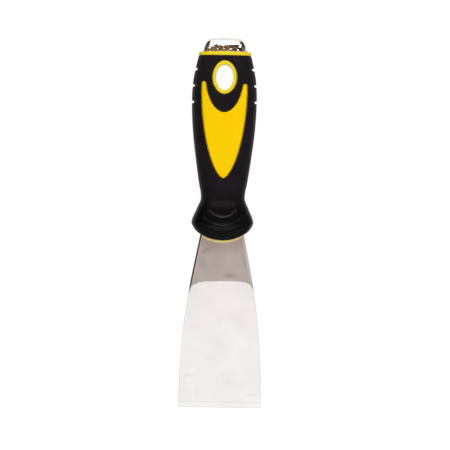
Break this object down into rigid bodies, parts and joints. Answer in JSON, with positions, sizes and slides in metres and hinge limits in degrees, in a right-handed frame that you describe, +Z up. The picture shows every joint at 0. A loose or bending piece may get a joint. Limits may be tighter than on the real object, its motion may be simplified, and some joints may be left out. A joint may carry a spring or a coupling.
{
  "type": "flexible putty knife",
  "caption": "Flexible putty knife: taper-ground steel blade with a full tang, two-material handle with a hanging hole, and a steel strike cap.",
  "frame": {"origin": "on the floor under the middle of the knife's length and width, with the knife lying on the back of its handle", "axes": "+X across the blade, +Y from the working edge towards the strike cap, +Z up out of the front face"},
  "size_m": [0.05, 0.224, 0.024],
  "materials": {
    "blade_steel": "satin sheet above the grind line, finely ground and polished below it",
    "core_plastic": "moulded yellow polypropylene with a slight sheen",
    "soft_grip": "fine matte black thermoplastic rubber",
    "cap_plating": "bright nickel-chrome plating on drawn steel"
  },
  "bodies": {
    "root": {"blade": "blade_steel", "handle_core": "core_plastic", "grip_overmould": "soft_grip", "strike_cap": "cap_plating"}
  },
  "joints": []
}
